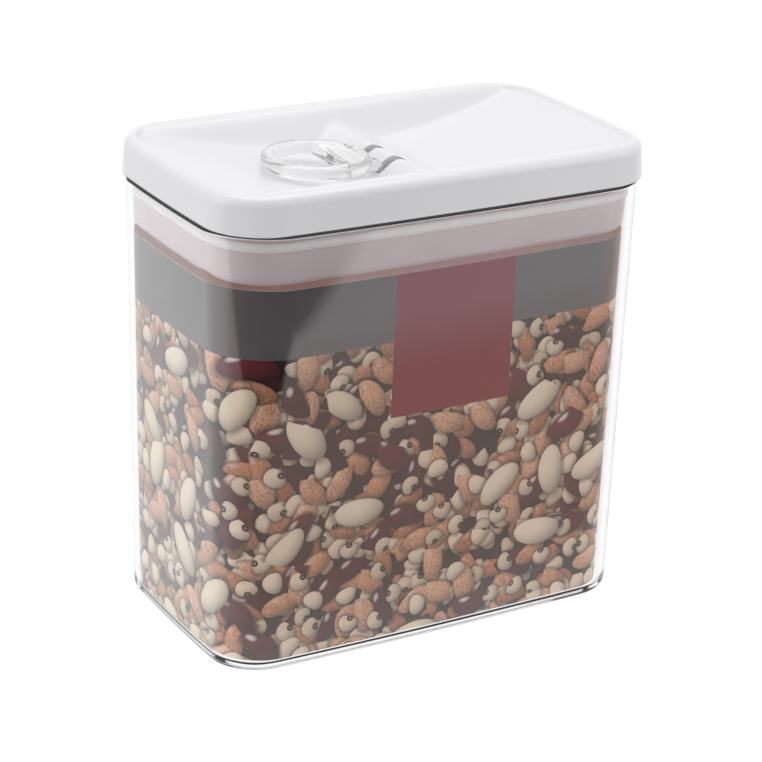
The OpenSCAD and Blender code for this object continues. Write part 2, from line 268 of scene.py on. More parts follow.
def scaled(tree, value, factor):
    """A vector or colour times a number"""
    return node(tree, "VectorMath", {0: value, "Scale": factor}, operation="SCALE").outputs[0]


def remap(tree, value, start, end, low=0.0, high=1.0, **settings):
    """A value's span from start to end turned into a span from low to high"""
    return node(tree, "MapRange", {"Value": value, "From Min": start, "From Max": end,
                                   "To Min": low, "To Max": high}, **settings).outputs[0]


def ramp(tree, factor, low, high):
    """Colour between two colours by a factor"""
    return node(tree, "Mix", {0: factor, 6: low, 7: high}, data_type="RGBA").outputs[2]


# Outlines and lofts

# Steps on each corner and on half of each short side of an outline, and the limits of its corners
SHORT_STEPS = 14
MOST_ROUND = 0.9
LEAST_R = 0.5


def outline(w, d, r, bow, side=40):
    """Rounded rectangle with bowed sides, from the right end round the back, as (x, y) points"""
    hw, hd = w / 2 - bow, d / 2 - bow
    r = max(min(r, hd * MOST_ROUND), LEAST_R)
    half = [(hw, (hd - r) * i / SHORT_STEPS) for i in range(SHORT_STEPS)]
    turn = [math.pi / 2 * i / SHORT_STEPS for i in range(SHORT_STEPS + 1)]
    half += [(hw - r + r * math.cos(a), hd - r + r * math.sin(a)) for a in turn]
    half += [((hw - r) * (1 - i / side), hd) for i in range(1, 2 * side)]
    half += [(r - hw - r * math.sin(a), hd - r + r * math.cos(a)) for a in turn]
    half += [(-hw, (hd - r) * i / SHORT_STEPS) for i in range(SHORT_STEPS - 1, -1, -1)]
    whole = half + [(x, -y) for x, y in half[-2:0:-1]]
    return [bowed(x, y, hw, hd, bow) for x, y in whole]


def bowed(x, y, hw, hd, bow):
    """Pushes a point of the outline out, most at the middle of its side"""
    out_x = bow * (1 - (y / hd) ** 2) * (abs(x) / hw) ** BOW_POWER
    out_y = bow * (1 - (x / hw) ** 2) * (abs(y) / hd) ** BOW_POWER
    return x + math.copysign(out_x, x), y + math.copysign(out_y, y)


def wall_ring(inset, z, more_round=0):
    """Ring of points on the container's drafted wall, inset from its outer face"""
    s = z / BODY_H
    lean = DRAFT * (1 - s) + inset
    r = BASE_CORNER_R + (CORNER_R - BASE_CORNER_R) * s - inset + more_round
    return [(x, y, z) for x, y in outline(BODY_W - 2 * lean, BODY_D - 2 * lean, r, SIDE_BOW)]


def floor_height(x):
    """Height of the dish floor: a long sweep with a ridge across its middle, blended softly"""
    sweep = TOP_Z - DISH_DEPTH * (1 - min(abs(x) / (DISH_L / 2), 1) ** 2)
    face = RIDGE_NEAR if x < 0 else RIDGE_FAR
    ridge = CREST_Z - face * (math.hypot(x, RIDGE_ROUND) - RIDGE_ROUND)
    return max(sweep, ridge) + VALLEY_LIFT * math.exp(-abs(sweep - ridge) / VALLEY_W)


def top_height(x, y, shift=0.0):
    """Height of the lid's top; its long walls fall from the rim to the dish floor in soft bends"""
    u = (LID_D / 2 - abs(y) - RIM_W + shift) * WALL_SLOPE
    full = TOP_Z - min(floor_height(x), TOP_Z)
    return TOP_Z - (math.hypot(u, WALL_ROUND) - math.hypot(u - full, WALL_ROUND) + full) / 2


def lid_outline(inset):
    """Outline of the lid; its bow fades towards the middle"""
    bow = SIDE_BOW * (1 - 2 * inset / LID_D)
    return outline(LID_W - 2 * inset, LID_D - 2 * inset, LID_CORNER_R - inset, bow, side=80)


def lid_ring(inset, z):
    return [(x, y, z) for x, y in lid_outline(inset)]


def dish_ring(inset, share=1.0, drop=0.0, shift=0.0):
    """Ring of points on the lid's top, or on its underside; a share under 1 lifts it to the rim"""
    return [(x, y, TOP_Z - share * (TOP_Z - top_height(x, y, shift)) - drop)
            for x, y in lid_outline(inset)]


def ease(s):
    """Soft step from 0 to 1"""
    return s * s * (3 - 2 * s)


def arc(inset, z, r, start, end, steps=8):
    """Insets and heights on a part circle, angles in degrees"""
    turn = [math.radians(start + (end - start) * i / steps) for i in range(steps + 1)]
    return [(inset + r * math.cos(a), z + r * math.sin(a)) for a in turn]


def loft(name, rings, closed=False):
    """Mesh object skinned over a stack of rings; open stacks are capped by strips across"""
    n, m = len(rings[0]), len(rings)
    points = [Vector(p) * MM for ring in rings for p in ring]
    faces = []
    for k in range(m if closed else m - 1):
        a, b = k * n, (k + 1) % m * n
        faces += [(a + i, a + (i + 1) % n, b + (i + 1) % n, b + i) for i in range(n)]
    if not closed:
        for base, flip in ((0, True), ((m - 1) * n, False)):
            cap = [(0, 1, n - 1)] + [(i, i + 1, n - i - 1, n - i) for i in range(1, n // 2 - 1)]
            cap += [(n // 2 - 1, n // 2, n // 2 + 1)]
            faces += [tuple(base + v for v in (reversed(f) if flip else f)) for f in cap]
    return mesh_object(name, points, faces)


def mesh_object(name, points, faces):
    mesh = bpy.data.meshes.new(name)
    mesh.from_pydata(points, [], faces)
    mesh.validate()
    made = bpy.data.objects.new(name, mesh)
    bpy.context.scene.collection.objects.link(made)
    return made


def outward(piece):
    """Turns all faces of a closed mesh outward"""
    mesh = bmesh.new()
    mesh.from_mesh(piece.data)
    bmesh.ops.recalc_face_normals(mesh, faces=mesh.faces)
    mesh.to_mesh(piece.data)
    mesh.free()


def smooth(piece, angle=40):
    """Smooth shading with edges kept sharp above an angle"""
    bpy.context.view_layer.objects.active = piece
    for other in bpy.context.selected_objects:
        other.select_set(False)
    piece.select_set(True)
    bpy.ops.object.shade_smooth_by_angle(angle=math.radians(angle))


def apply(piece, kind, **settings):
    """Adds a modifier and applies it"""
    modifier = piece.modifiers.new(kind, kind)
    for name, value in settings.items():
        setattr(modifier, name, value)
    bpy.context.view_layer.objects.active = piece
    bpy.ops.object.modifier_apply(modifier=modifier.name)


def block(name, low, high):
    """Box from its lowest to its highest corner, in millimetres"""
    points = [Vector((x, y, z)) * MM for x in (low[0], high[0]) for y in (low[1], high[1])
              for z in (low[2], high[2])]
    faces = [(0, 1, 3, 2), (4, 6, 7, 5), (0, 4, 5, 1), (2, 3, 7, 6), (0, 2, 6, 4), (1, 5, 7, 3)]
    return mesh_object(name, points, faces)


def cut(piece, tools, operation="DIFFERENCE"):
    """Boolean of a piece with tools, which are then removed"""
    for tool in tools:
        apply(piece, "BOOLEAN", operation=operation, object=tool, solver="EXACT")
        bpy.data.objects.remove(tool)


def dress(piece, body, slot, *finishes):
    """Rides a piece on its body and gives it its materials; its slot is not used"""
    for finish in finishes:
        piece.data.materials.append(finish)
    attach(piece, body)


# Materials

def moulded_abs():
    """White ABS from a polished mould: clean gloss over a faint waviness of the skin"""
    made, tree = material("white_abs_moulded")
    flow = noise(tree, 45, 1.0)
    skin = noise(tree, 1.6, 2.0)
    principled(tree, Base_Color=ramp(tree, flow, colour("#E8E8EB"), colour("#EEEEF0")),
               Roughness=remap(tree, skin, 0, 1, 0.16, 0.24), IOR=1.53,
               Normal=bump(tree, skin, 0.12, 0.04))
    return made


def moulded_pp():
    """Natural white polypropylene: satin, a little cloudy, with a fine moulded grain"""
    made, tree = material("white_polypropylene_moulded")
    cloud = noise(tree, 18, 2.0)
    grain = noise(tree, 0.5, 1.0)
    principled(tree, Base_Color=ramp(tree, cloud, colour("#E0D2D6"), colour("#EADEE1")),
               Roughness=0.36, IOR=1.49, Normal=bump(tree, grain, 0.15, 0.03))
    return made


def clear_plastic(name, ior, clearness, waviness):
    """Polished clear plastic with a slightly wavy wall; what clearness lacks from 1 is milky"""
    made, tree = material(name)
    wave = noise(tree, 22, 1.0)
    principled(tree, Base_Color=(1, 1, 1, 1), Roughness=0.015, IOR=ior,
               Transmission_Weight=clearness, Normal=bump(tree, wave, waviness, 0.2))
    return made


def soft_elastomer():
    """Dark grey thermoplastic elastomer: dull and soft-edged, with a dusty grain"""
    made, tree = material("dark_elastomer_moulded")
    grain = noise(tree, 0.8, 3.0)
    principled(tree, Base_Color=ramp(tree, grain, colour("#3A393C"), colour("#4A494C")),
               Roughness=0.55, IOR=1.5, Normal=bump(tree, grain, 0.2, 0.05))
    return made


def silicone():
    """Translucent silicone rubber: milky; a trace of glow stands for light that comes through"""
    made, tree = material("silicone_moulded")
    cloud = noise(tree, 6, 2.0)
    principled(tree, Base_Color=ramp(tree, cloud, colour("#EAE6E8"), colour("#F4F1F3")),
               Roughness=0.42, IOR=1.41, Subsurface_Weight=0.25, Subsurface_Scale=0.0015,
               Emission_Color=colour("#F0ECEE"), Emission_Strength=0.12)
    return made


def turned_steel():
    """Stainless steel, ground and passivated: fine lines round the turned faces"""
    made, tree = material("stainless_steel_turned")
    place = node(tree, "TexCoord").outputs["Object"]
    stretched = node(tree, "Mapping", {"Vector": place, "Scale": (1.0, 1.0, 14.0)}).outputs[0]
    lines = node(tree, "TexNoise", {"Vector": stretched, "Scale": 900.0, "Detail": 3.0})
    lines = lines.outputs["Fac"]
    principled(tree, Base_Color=colour("#C8C8CA"), Metallic=1.0,
               Roughness=remap(tree, lines, 0, 1, 0.2, 0.38), Normal=bump(tree, lines, 0.2, 0.02))
    return made


def bare_card():
    """Unprinted back of the card: warm board with pressed fibres; a painted glow stands for light
    that comes through it and lifts its shade
    """
    made, tree = material("card_unprinted")
    fibre = noise(tree, 1.2, 4.0)
    # The emission is a painted glow that brightens the card where it lies in shade
    principled(tree, Base_Color=ramp(tree, fibre, colour("#B89A94"), colour("#C8AAA4")),
               Roughness=0.8, Normal=bump(tree, fibre, 0.3, 0.05),
               Emission_Color=colour("#A08884"), Emission_Strength=0.26)
    return made


# Each kind of bean in the print: spacing of its places, half length and half width in mm, bend,
# share of places taken, colours of shade and light, gloss, speckle, share that shows an eye
BEANS = [
    ("kidney", 14, 8.4, 4.5, 0.22, 0.9, "#2C090D", "#50151B", 0.5, 0.0, 0.0),
    ("pea", 9, 4.5, 3.5, 0.14, 0.75, "#A88E6C", "#EED8C0", 0.1, 0.0, 0.0),
    ("pinto", 13, 8.2, 4.2, 0.12, 0.85, "#AC6440", "#E0A47E", 0.2, 0.45, 0.0),
    ("kidney", 17, 9.0, 4.8, 0.22, 0.5, "#300A0E", "#5C1A20", 0.6, 0.0, 0.0),
    ("pea", 9.6, 4.6, 3.6, 0.16, 0.42, "#A88E6C", "#F2DDC6", 0.1, 0.0, 0.5),
    ("pinto", 14.5, 8.6, 4.4, 0.12, 0.62, "#B8704A", "#ECB896", 0.25, 0.5, 0.0),
    ("kidney", 21, 9.5, 5.0, 0.22, 0.36, "#340B10", "#682028", 0.7, 0.0, 0.0),
    ("pea", 11, 4.5, 3.5, 0.12, 0.4, "#AC9474", "#F6E3CC", 0.1, 0.0, 0.6),
    ("lima", 27, 10.8, 5.7, 0.06, 0.4, "#DACAA6", "#FAEAD4", 0.1, 0.0, 0.0),
]
# Direction of the printed heap's light, and how far each layer's pattern lies from the last
PRINT_LAMP = (-0.42, 0.52, 0.74)
LAYER_STEP = (137.0, 53.0, 0.0)
LAYER_START = (31.0, 17.0, 0.0)
# The eye of a pea: its place across the bean, then half length, half height and colour of its
# dark patch and of the slit in it, all as shares of the bean's half sizes
EYE_OFFSET = 0.74
EYE_MARKS = ((0.36, 0.34, "#20100E"), (0.13, 0.09, "#B8A48A"))


def bean_layer(tree, place, below, number, bean):
    """Lays one layer of printed beans over the colour below and returns the new colour"""
    kind, spacing, half_l, half_w, bend, share, dark, light, gloss, speckle, eye = bean
    shift = tuple(step * number + start for step, start in zip(LAYER_STEP, LAYER_START))
    moved = vector(tree, "ADD", place, shift)
    cell = node(tree, "TexVoronoi", {"Vector": moved, "Scale": 1 / spacing, "Randomness": 0.8},
                voronoi_dimensions="2D")
    chance = node(tree, "SeparateColor", {0: cell.outputs["Color"]}).outputs
    local = vector(tree, "SUBTRACT", moved, cell.outputs["Position"])

    # Each bean's own turn and size; u and v run from -1 to 1 across it
    turn = maths(tree, "MULTIPLY", chance[0], 2 * math.pi)
    turned, lamp = (node(tree, "VectorRotate", {"Vector": way, "Angle": turn},
                         rotation_type="Z_AXIS").outputs[0] for way in (local, PRINT_LAMP))
    size = remap(tree, chance[1], 0, 1, 1.2, 0.92)
    unit = scaled(tree, vector(tree, "MULTIPLY", turned, (1 / half_l, 1 / half_w, 0.0)), size)
    u, v = node(tree, "SeparateXYZ", {0: unit}).outputs[:2]
    uu = maths(tree, "MULTIPLY", u, u)
    v = maths(tree, "MULTIPLY_ADD", uu, 2 * bend, v)
    v = maths(tree, "SUBTRACT", v, 0.6 * bend)
    rr = maths(tree, "MULTIPLY_ADD", v, v, uu)
    there = maths(tree, "LESS_THAN", chance[2], share)
    mask = maths(tree, "MULTIPLY", remap(tree, rr, 1.0, 0.94), there)

    # Light on a dome of its outline
    high = node(tree, "Math", {0: 1.0, 1: rr}, operation="SUBTRACT", use_clamp=True).outputs[0]
    dome = node(tree, "CombineXYZ", {0: u, 1: v, 2: maths(tree, "SQRT", high)}).outputs[0]
    lit = vector(tree, "DOT_PRODUCT", dome, lamp, out="Value")
    shade = remap(tree, lit, -0.35, 0.85, 0.32)

    mottle = node(tree, "TexNoise", {"Vector": moved, "Scale": 0.35, "Detail": 2.0}).outputs["Fac"]
    blend = remap(tree, maths(tree, "ADD", chance[1], mottle), 0.25, 1.2)
    paint = ramp(tree, blend, colour(dark), colour(light))
    if kind in ("pea", "lima"):
        paint = ramp(tree, 0.55, colour(light), paint)
    if speckle:
        along = vector(tree, "MULTIPLY", turned, (0.42, 1.15, 1.0))
        spots = node(tree, "TexNoise", {"Vector": along, "Scale": 1.3, "Detail": 4.0})
        spots = remap(tree, spots.outputs["Fac"], 0.53, 0.6, high=speckle)
        paint = ramp(tree, spots, paint, colour("#5E2418"))
    if eye:
        shown = maths(tree, "LESS_THAN", chance[1], eye)
        paint = ramp(tree, shown, paint, bean_eye(tree, u, v, paint))
    paint = scaled(tree, paint, shade)
    glint = remap(tree, lit, 0.93, 1.0, high=gloss, interpolation_type="SMOOTHSTEP")
    paint = ramp(tree, glint, paint, (1.0, 0.96, 0.94, 1.0))

    # Shadow on the beans below, round each bean that is there
    halo = remap(tree, rr, 1.0, 1.8, 0.38)
    halo = node(tree, "Mix", {0: there, 2: 1.0, 3: halo}).outputs[0]
    return ramp(tree, mask, scaled(tree, below, halo), paint)


def bean_eye(tree, u, v, paint):
    """Dark eye with a pale slit on the inner side of a pea"""
    far = maths(tree, "ADD", v, EYE_OFFSET)
    for half_l, half_h, shade in EYE_MARKS:
        x = maths(tree, "DIVIDE", u, half_l)
        y = maths(tree, "DIVIDE", far, half_h)
        rr = maths(tree, "MULTIPLY_ADD", y, y, maths(tree, "MULTIPLY", x, x))
        paint = ramp(tree, remap(tree, rr, 1.15, 0.8), paint, colour(shade))
    return paint


def printed_card():
    """Offset-printed card with a satin varnish: mixed beans, a grey band and a plain panel"""
    made, tree = material("card_offset_printed")
    place = node(tree, "UVMap", uv_map="print_mm").outputs[0]
    deep = node(tree, "TexNoise", {"Vector": place, "Scale": 0.12, "Detail": 3.0}).outputs["Fac"]
    paint = ramp(tree, deep, colour("#1A0A0A"), colour("#341A18"))
    for number, bean in enumerate(BEANS):
        paint = bean_layer(tree, place, paint, number, bean)
    along, up = node(tree, "SeparateXYZ", {0: place}).outputs[:2]
    paint = ramp(tree, maths(tree, "GREATER_THAN", up, BAND_LOW), paint, colour("#646062"))
    panel = maths(tree, "MULTIPLY", maths(tree, "GREATER_THAN", along, PANEL_LEFT),
                  maths(tree, "LESS_THAN", along, PANEL_RIGHT))
    panel = maths(tree, "MULTIPLY", panel, maths(tree, "GREATER_THAN", up, PANEL_LOW))
    paint = ramp(tree, panel, paint, colour("#8A1830"))
    principled(tree, Base_Color=paint, Roughness=0.35, IOR=1.45)
    return made


# Pieces

def make_container(finish):
    """Clear box: foot ring, rounded edges, drafted walls and a floor, from outside to inside"""
    floor_z = FOOT_H + FLOOR_T
    rim_z = BODY_H - RIM_EDGE_R
    profile = [(FOOT_W + BASE_EDGE_R + 0.6, FOOT_H), (FOOT_W + BASE_EDGE_R, 0)]
    profile += arc(BASE_EDGE_R, BASE_EDGE_R, BASE_EDGE_R, 270, 180)
    profile += [(0, z) for z in WALL_LEVELS]
    profile += arc(RIM_EDGE_R, rim_z, RIM_EDGE_R, 180, 90, 4)
    profile += arc(WALL - RIM_EDGE_R, rim_z, RIM_EDGE_R, 90, 0, 4)
    profile += [(WALL, z) for z in reversed(WALL_LEVELS[1:])]
    profile += arc(WALL + FLOOR_EDGE_R, floor_z + FLOOR_EDGE_R, FLOOR_EDGE_R, 180, 270, 5)
    profile += [(WALL + 2, floor_z), (WALL + 8, floor_z)]
    piece = loft("clear_container", [wall_ring(inset, z) for inset, z in profile])
    smooth(piece, 50)
    piece.visible_shadow = False
    dress(piece, "container", "clear_styrene", finish)
    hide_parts("container_body")


def make_card(front, back):
    """Card sleeve with the print's coordinates in millimetres along the wall and up it"""
    heights = [CARD_LOW.z + (CARD_TOP - CARD_LOW.z) * i / CARD_ROWS for i in range(CARD_ROWS + 1)]
    rings = [wall_ring(CARD_INSET, z, CARD_ROUND) for z in heights]
    rings += [wall_ring(CARD_INSET + CARD_T, z, CARD_ROUND) for z in reversed(heights)]
    piece = loft("printed_card", rings, closed=True)
    n = len(rings[0])
    front_points = [i for i, point in enumerate(rings[0]) if point[1] <= 0]
    start = min(front_points, key=lambda i: abs(rings[0][i][0]))
    lengths = lengths_along(rings[0])
    uv = piece.data.uv_layers.new(name="print_mm")
    for face in piece.data.polygons:
        outside = min(face.vertices) // n < CARD_ROWS and max(face.vertices) < n * len(heights)
        face.material_index = 0 if outside else 1
        columns = [v % n for v in face.vertices]
        wraps = max(columns) - min(columns) > n / 2
        for loop, v, column in zip(face.loop_indices, face.vertices, columns):
            length = lengths[column + n if wraps and column < n / 2 else column] - lengths[start]
            if length > lengths[n] / 2 and not (wraps and column < n / 2):
                length -= lengths[n]
            uv.data[loop].uv = (length, piece.data.vertices[v].co.z / MM)
    smooth(piece, 60)
    dress(piece, "container", "printed_card", front, back)
    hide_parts("printed_sleeve")


def lengths_along(ring):
    """Lengths from a ring's first point to each of its points, in millimetres, twice round"""
    n = len(ring)
    lengths = [0.0]
    for i in range(2 * n):
        lengths.append(lengths[-1] + math.dist(ring[i % n], ring[(i + 1) % n]))
    return lengths


def make_cover(finish):
    """Lid cover: underside, skirt, rounded edge, long walls, and dish with its ridge"""
    under_z = TOP_Z - COVER_T
    ledge = SKIRT_T + STEP_W
    edge_z = TOP_Z - LID_EDGE_R
    wall_start, wall_end = RIM_W - 0.3 * WALL_REACH, RIM_W + 1.3 * WALL_REACH
    insets = [wall_start + (wall_end - wall_start) * i / 26 for i in range(27)]
    insets += [wall_end + (LID_D / 2 - 4 - wall_end) * i / 8 for i in range(1, 9)]
    rings = [dish_ring(inset, 1, COVER_T, UNDER_SHIFT) for inset in insets[::-2]]
    rings += [lid_ring(inset, z) for inset, z in (
        (ledge + 1, under_z), (ledge, under_z - 1), (ledge, LID_Z + FLANGE_H),
        (SKIRT_T, LID_Z + FLANGE_H), (SKIRT_T, LID_Z + 0.1))]
    rings += [lid_ring(inset, z) for inset, z in arc(0.4, LID_Z + 0.4, 0.4, 270, 180, 3)]
    edge = arc(LID_DRAFT + LID_EDGE_R, edge_z, LID_EDGE_R, 180, 90, 12)
    rings += [lid_ring(0.05, LID_Z + 1), lid_ring(LID_DRAFT - 0.05, edge_z - 0.6)]
    rings += [lid_ring(inset, z) for inset, z in edge]
    edge_end = edge[-1][0]
    rings += [dish_ring(edge_end + (insets[0] - edge_end) * s, ease(s))
              for s in ((i + 1) / 6 for i in range(5))]
    rings += [dish_ring(inset) for inset in insets]
    piece = loft("lid_cover_moulding", rings)
    middle = CHEEK_IN + CHEEK_T / 2
    cut(piece, [block("slot", (-SLOT_START, side * middle - SLOT_W / 2, DISH_Z - 10),
                      (SLOT_END, side * middle + SLOT_W / 2, TOP_Z + 5)) for side in (-1, 1)])
    smooth(piece, 35)
    dress(piece, "lid", "white_abs", finish)
    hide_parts("lid_cover")


def make_frame(finish):
    """Tray under the cover, with a flange in the skirt and a well for the cam pad"""
    side, inner = FRAME_SIDE, FRAME_SIDE + FRAME_WALL
    flange_z = LID_Z + FLANGE_H
    rings = [wall_ring(side + 0.5, FRAME_Z), wall_ring(side, FRAME_Z + 0.5),
             wall_ring(side, LID_Z), lid_ring(FRAME_INSET, LID_Z), lid_ring(FRAME_INSET, flange_z),
             lid_ring(SKIRT_T + STEP_W, flange_z), wall_ring(inner, LID_Z), wall_ring(inner, WEB_Z)]
    piece = loft("frame_moulding", [resample(ring, MIXED_POINTS) for ring in rings])
    well_low = FRAME_LOW.z
    open_z = WEB_Z + 5
    well = block("well", (PAD_LOW.x - WELL_WALL, PAD_LOW.y - WELL_WALL, well_low),
                 (PAD_HIGH.x + WELL_WALL, PAD_HIGH.y + WELL_WALL, WEB_Z))
    pocket = block("pocket", (PAD_LOW.x - SIDE_PLAY, PAD_LOW.y - SIDE_PLAY, PAD_LOW.z),
                   (PAD_HIGH.x + SIDE_PLAY, PAD_HIGH.y + SIDE_PLAY, open_z))
    hole = block("post_hole", (-POST_HOLE.x, -POST_HOLE.y, well_low - 2),
                 (POST_HOLE.x, POST_HOLE.y, open_z))
    cut(piece, [well], "UNION")
    cut(piece, [pocket, hole])
    smooth(piece, 35)
    dress(piece, "lid", "white_pp", finish)
    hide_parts("inner_frame")


def resample(ring, count):
    """The same ring with another number of points, evenly spaced from the same start"""
    n = len(ring)
    steps = lengths_along(ring)[:n + 1]
    points, k = [], 0
    for j in range(count):
        target = steps[-1] * j / count
        while steps[k + 1] < target:
            k += 1
        s = (target - steps[k]) / max(steps[k + 1] - steps[k], 1e-9)
        a, b = ring[k], ring[(k + 1) % n]
        points.append(tuple(p + (q - p) * s for p, q in zip(a, b)))
    return points


def make_seal(finish):
    """Dark soft seal between the lid's edge and the container's rim"""
    inner = WALL + 0.6
    rings = [lid_ring(SEAL_INSET, LID_Z), wall_ring(0.3, SEAL_LOW.z), wall_ring(inner, SEAL_LOW.z),
             wall_ring(inner, LID_Z)]
    rings = [resample(ring, MIXED_POINTS) for ring in rings]
    piece = loft("soft_rim_seal", rings[::-1], closed=True)
    smooth(piece, 35)
    dress(piece, "lid", "dark_tpe", finish)
    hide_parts("rim_seal")


def make_plate(finish):
    """Shallow tray that closes the mouth, its lip turned in under the gasket"""
    low = PLATE_SIDE + PLATE_LEAN
    z, top = PLATE_LOW.z, PLATE_HIGH.z
    lip = PLATE_SIDE + GASKET_W + 0.4
    profile = arc(low + PLATE_EDGE_R, z + PLATE_EDGE_R, PLATE_EDGE_R, 270, 180)
    profile += [(PLATE_SIDE, top - 0.5), (PLATE_SIDE + 0.15, top - 0.15), (PLATE_SIDE + 0.5, top),
                (lip, top), (lip, top - PLATE_T), (PLATE_SIDE + PLATE_T + 0.4, top - PLATE_T - 1.2)]
    profile += arc(low + PLATE_T + PLATE_EDGE_R, z + PLATE_T + PLATE_EDGE_R, PLATE_EDGE_R, 180, 270)
    piece = loft("press_plate_moulding", [wall_ring(inset, height) for inset, height in profile])
    smooth(piece, 40)
    dress(piece, "press_plate", "white_pp", finish)
    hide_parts("press_plate")


def make_gasket(finish):
    """Gasket between frame and plate"""
    low, high = PLATE_HIGH.z, FRAME_Z
    bulge = (high - low) / 2
    deep = bulge * GASKET_BULGE
    inner = GASKET_INSET + deep + GASKET_W - 1
    turn = [math.radians(a) for a in range(-90, 91, 15)]
    face = [(GASKET_INSET + deep * (1 - math.cos(a)), high - bulge + bulge * math.sin(a))
            for a in turn]
    profile = [(inner, low)] + face + [(inner, high)]
    profile += [(inner, high - bulge * k / 3) for k in range(1, 6)]
    piece = loft("silicone_gasket", [wall_ring(inset, z) for inset, z in profile], closed=True)
    smooth(piece, 50)
    piece.data.materials.append(finish)
    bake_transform(piece)
    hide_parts("plate_gasket")


def cam_point(a):
    """Point of the cam at a direction from straight down towards the front of the cheek"""
    p = CAM_HIGH - CAM_RATE * a
    return p * math.sin(a) - CAM_RATE * math.cos(a), -p * math.cos(a) - CAM_RATE * math.sin(a)


def extrude_side(name, profile, y_low, y_high):
    """Solid from a side view (x, z about the pivot) between two y values"""
    n = len(profile)
    points = [Vector((x, y, z + PIVOT_Z)) * MM for y in (y_low, y_high) for x, z in profile]
    faces = [tuple(range(n)), tuple(range(2 * n - 1, n - 1, -1))]
    faces += [(i, i + n, (i + 1) % n + n, (i + 1) % n) for i in range(n)]
    piece = mesh_object(name, points, faces)
    outward(piece)
    return piece


def lathe(name, centre, profile, steps=128):
    """Ring solid: a closed profile of (radius, z) swept round a vertical line"""
    n = len(profile)
    points, faces = [], []
    for k in range(steps):
        a = 2 * math.pi * k / steps
        points += [Vector((centre[0] + r * math.cos(a), centre[1] + r * math.sin(a), z)) * MM
                   for r, z in profile]
        b = (k + 1) % steps * n
        faces += [(k * n + i, b + i, b + (i + 1) % n, k * n + (i + 1) % n) for i in range(n)]
    piece = mesh_object(name, points, faces)
    outward(piece)
    return piece


def tip(piece):
    """Tips a mesh up with the ring about the pivot"""
    pivot = Vector((0, 0, PIVOT_Z)) * MM
    back = Matrix.Translation(-pivot)
    piece.data.transform(Matrix.Translation(pivot) @ Matrix.Rotation(RING_TILT, 4, "Y") @ back)


def finger_ring(low, high):
    """Flat ring with rounded edges round the ring's own centre"""
    section = []
    corners = ((RING_R, low, 270), (RING_R, high, 0), (HOLE_R, high, 90), (HOLE_R, low, 180))
    for r, z, start in corners:
        centre_r = r - RING_EDGE_R if r == RING_R else r + RING_EDGE_R
        centre_z = z + RING_EDGE_R if z == low else z - RING_EDGE_R
        section += arc(centre_r, centre_z, RING_EDGE_R, start, start + 90, 6)
    return lathe("clear_flip_ring", (-RING_REACH, 0), section)


def hinge_bar(low, high):
    """Bar that makes the finger hole D-shaped and joins the ring to the cheeks"""
    side = [(BRIDGE_END + 1.2, RING_TOP), (BRIDGE_END + 0.3, RING_TOP - 0.4),
            (BRIDGE_END, RING_TOP - 1.4), (BRIDGE_END, RING_LOW + 1.2),
            (BRIDGE_END + 0.3, RING_LOW + 0.4), (BRIDGE_END + 1.2, RING_LOW),
            (-NECK_NEAR, RING_LOW), (-NECK_NEAR, RING_TOP - 1.2), (BRIDGE_BEND, RING_TOP)]
    bar = extrude_side("bridge", side, -HOLE_R, HOLE_R)
    disc = [(BRIDGE_R, low - 4), (BRIDGE_R, high + 4), (0.01, high + 4), (0.01, low - 4)]
    cut(bar, [lathe("disc", (-RING_REACH, 0), disc)], "INTERSECT")
    return bar


def cheek_side():
    """Side view of a cheek: cam below, round front, low top in the slot, arm up to the ring"""
    side = [cam_point(math.radians(a)) for a in range(-12, 91, 3)]
    side += [(CHEEK_FRONT * math.cos(math.radians(a)), CHEEK_TOP * math.sin(math.radians(a)))
             for a in range(0, 91, 5)]
    side += [(-1.5, 3.45), (-6.3, 3.4), (-7.0, 4.2), (-7.6, 5.2), (-8.6, ARM_TOP)]
    side += [(-13.5, RING_TOP - 1.6), (-14, RING_LOW + 0.8), (-NECK_NEAR - 1, RING_LOW - 0.4)]
    side += [(0.3 - SLOT_START, 1), (1.8 - SLOT_START, -1.2), (3 - SLOT_START, -3)]
    return side


def make_ring(finish):
    """Clear lever: finger ring, hinge bar and two cheeks with cams, one moulding with soft edges"""
    low, high = PIVOT_Z + RING_LOW, PIVOT_Z + RING_TOP
    piece, bar = finger_ring(low, high), hinge_bar(low, high)
    for part in (piece, bar):
        tip(part)
    cheeks = [extrude_side("cheek", cheek_side(), y, y + CHEEK_T) for y in (-NECK_W / 2, CHEEK_IN)]
    cut(piece, [bar] + cheeks, "UNION")
    apply(piece, "REMESH", mode="VOXEL", voxel_size=VOXEL * MM, use_smooth_shade=True)
    apply(piece, "SMOOTH", factor=0.5, iterations=6)
    turn = [math.pi * i / 24 for i in range(48)]
    bore = [(BORE_R * math.cos(a), BORE_R * math.sin(a)) for a in turn]
    cut(piece, [extrude_side("bore", bore, -NECK_W, NECK_W)])
    smooth(piece, 40)
    dress(piece, "ring_lever", "clear_acrylic", finish)
    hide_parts("flip_ring")


def finish_small_parts(steel, plastic):
    """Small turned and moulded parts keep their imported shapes"""
    for name, finish in (("pivot_pin", steel), ("post_screws", steel), ("cam_pad", steel),
                         ("pull_post", plastic)):
        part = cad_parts[name]
        part.data.materials.clear()
        part.data.materials.append(finish)
        smooth(part, 35)


# Stage

